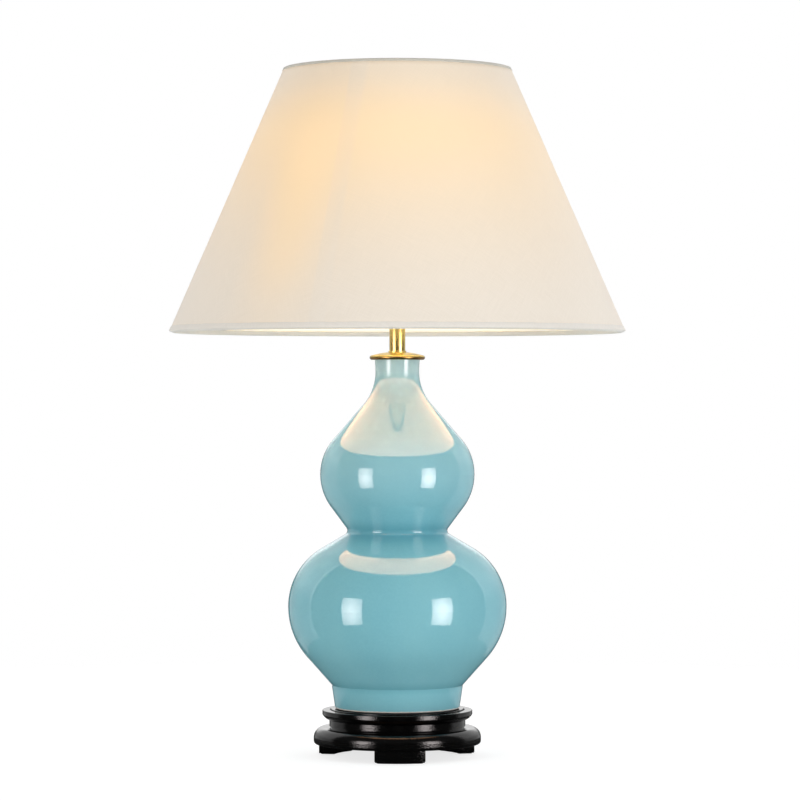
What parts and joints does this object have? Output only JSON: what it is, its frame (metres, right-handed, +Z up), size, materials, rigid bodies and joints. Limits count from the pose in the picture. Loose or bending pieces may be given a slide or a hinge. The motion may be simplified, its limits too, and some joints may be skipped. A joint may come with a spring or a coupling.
{
  "type": "table lamp",
  "caption": "Double gourd table lamp: glazed ceramic body on a turned black stand, brass cap and riser, cone cloth shade on a harp with a finial, turn-switch socket.",
  "frame": {"origin": "on the table, under the middle of the stand", "axes": "+Z up along the lamp's axis, -Y towards the front, +X to the right seen from the front"},
  "size_m": [0.4583, 0.4582, 0.6972],
  "materials": {
    "black_lacquer": "high gloss black lacquer on turned wood",
    "felt": "dense black wool felt",
    "glaze": "high gloss teal glaze over white body",
    "gasket_rubber": "matt pale rubber",
    "polished_brass": "polished and lacquered",
    "zinc_steel": "zinc plated",
    "contact_brass": "bright stamped brass",
    "black_plastic": "moulded, slightly glossy",
    "fibre": "pressed insulating fibre",
    "porcelain": "unglazed white porcelain",
    "bulb_metal": "rolled, bright",
    "bulb_insulation": "black vitrite",
    "bulb_glass": "clear blown glass",
    "filament": "warm light-emitting filaments",
    "shade_cloth": "fine ivory plain weave",
    "shade_lining": "smooth off-white laminate",
    "shade_wire": "brass plated wire"
  },
  "bodies": {
    "lamp": {"stand_apron": "black_lacquer", "stand_waist": "black_lacquer", "stand_seat": "black_lacquer", "felt_pad_1": "felt", "felt_pad_2": "felt", "felt_pad_3": "felt", "cord_bush": "black_plastic", "base_washer": "zinc_steel", "lock_washer": "zinc_steel", "base_nut": "zinc_steel", "threaded_rod": "zinc_steel", "foot_gasket": "gasket_rubber", "ceramic_body": "glaze", "neck_gasket": "gasket_rubber", "vase_cap": "polished_brass", "tube_seat": "polished_brass", "neck_tube": "polished_brass", "tube_end": "polished_brass", "tube_lock_nut": "polished_brass", "harp_saddle": "polished_brass", "socket_cap": "polished_brass", "socket_set_screw": "polished_brass", "socket_shell": "polished_brass", "insulating_sleeve": "fibre", "socket_core": "porcelain", "terminal_screws": "contact_brass", "screw_shell": "contact_brass", "center_contact": "contact_brass"},
    "switch": {"switch_spindle": "zinc_steel", "switch_knob": "black_plastic"},
    "bulb": {"bulb_cap": "bulb_metal", "bulb_contact": "bulb_metal", "bulb_insulator": "bulb_insulation", "bulb_glass": "bulb_glass", "bulb_stem": "bulb_glass", "bulb_filament": "filament"},
    "harp": {"harp": "polished_brass"},
    "sleeve_left": {"harp_sleeve_left": "polished_brass"},
    "sleeve_right": {"harp_sleeve_right": "polished_brass"},
    "stud": {"harp_stud": "polished_brass"},
    "shade": {"shade_spider": "shade_wire", "shade_bottom_ring": "shade_wire", "shade_lining": "shade_lining", "shade_cover": "shade_cloth", "shade_top_trim": "shade_cloth", "shade_bottom_trim": "shade_cloth"},
    "finial": {"finial": "polished_brass"}
  },
  "joints": [
    {"name": "switch_turn", "type": "hinge", "parent": "lamp", "child": "switch", "pos_m": [0, -0.02, 0.5114], "axis": [0, -1, 0], "continuous": true},
    {"name": "bulb_turn", "type": "hinge", "parent": "lamp", "child": "bulb", "pos_m": [0, 0, 0.56], "axis": [0, 0, 1], "range_deg": [0, 1260]},
    {"name": "harp_lift", "type": "slide", "parent": "lamp", "child": "harp", "axis": [0, 0, 1], "range_m": [0, 0.016]},
    {"name": "harp_sleeve_left_slide", "type": "slide", "parent": "harp", "child": "sleeve_left", "axis": [0, 0, 1], "range_m": [0, 0.012]},
    {"name": "harp_sleeve_right_slide", "type": "slide", "parent": "harp", "child": "sleeve_right", "axis": [0, 0, 1], "range_m": [0, 0.012]},
    {"name": "shade_turn", "type": "hinge", "parent": "harp", "child": "stud", "pos_m": [0, 0, 0.6622], "axis": [0, 0, 1], "continuous": true},
    {"name": "shade_lift", "type": "slide", "parent": "stud", "child": "shade", "axis": [0, 0, 1], "range_m": [0, 0.27]},
    {"name": "finial_turn", "type": "hinge", "parent": "shade", "child": "finial", "pos_m": [0, 0, 0.67], "axis": [0, 0, 1], "range_deg": [0, 3600]}
  ]
}
